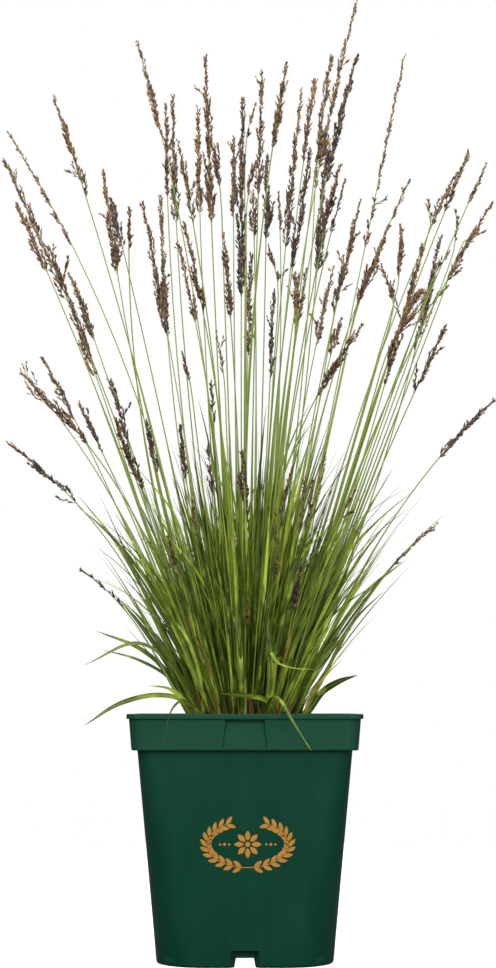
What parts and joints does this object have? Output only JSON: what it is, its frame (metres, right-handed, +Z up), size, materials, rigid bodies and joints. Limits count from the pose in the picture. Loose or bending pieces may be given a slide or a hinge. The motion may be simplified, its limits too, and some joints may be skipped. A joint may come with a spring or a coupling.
{
  "type": "potted ornamental moor grass",
  "caption": "Clump of moor grass with upright flowering stems and narrow arching leaves, growing in a square tapered nursery pot with a stepped collar.",
  "frame": {"origin": "centre of the pot's base, on the surface that it stands on", "axes": "+Z up along the pot and the stems; -Y is the front that the picture shows; +X is to its right"},
  "size_m": [0.3801, 0.3165, 0.7389],
  "materials": {
    "pot": "satin",
    "soil": "matte",
    "crown": "matte",
    "stem": "matte",
    "leaf": "satin"
  },
  "bodies": {
    "root": {"pot": "pot", "soil": "soil", "crown": "crown", "stem_01": "stem", "stem_02": "stem", "stem_03": "stem", "stem_04": "stem", "stem_05": "stem", "stem_06": "stem", "stem_07": "stem", "stem_08": "stem", "stem_09": "stem", "stem_10": "stem", "stem_11": "stem", "stem_12": "stem", "stem_13": "stem", "stem_14": "stem", "stem_15": "stem", "stem_16": "stem", "stem_17": "stem", "stem_18": "stem", "stem_19": "stem", "stem_20": "stem", "stem_21": "stem", "stem_22": "stem", "stem_23": "stem", "stem_24": "stem", "stem_25": "stem", "stem_26": "stem", "stem_27": "stem", "stem_28": "stem", "stem_29": "stem", "stem_30": "stem", "stem_31": "stem", "stem_32": "stem", "stem_33": "stem", "stem_34": "stem", "stem_35": "stem", "stem_36": "stem", "stem_37": "stem", "stem_38": "stem", "stem_39": "stem", "stem_40": "stem", "stem_41": "stem", "stem_42": "stem", "leaf_01": "leaf", "leaf_02": "leaf", "leaf_03": "leaf", "leaf_04": "leaf", "leaf_05": "leaf", "leaf_06": "leaf", "leaf_07": "leaf", "leaf_08": "leaf", "leaf_09": "leaf", "leaf_10": "leaf", "leaf_11": "leaf", "leaf_12": "leaf", "leaf_13": "leaf", "leaf_14": "leaf", "leaf_15": "leaf"}
  },
  "joints": []
}
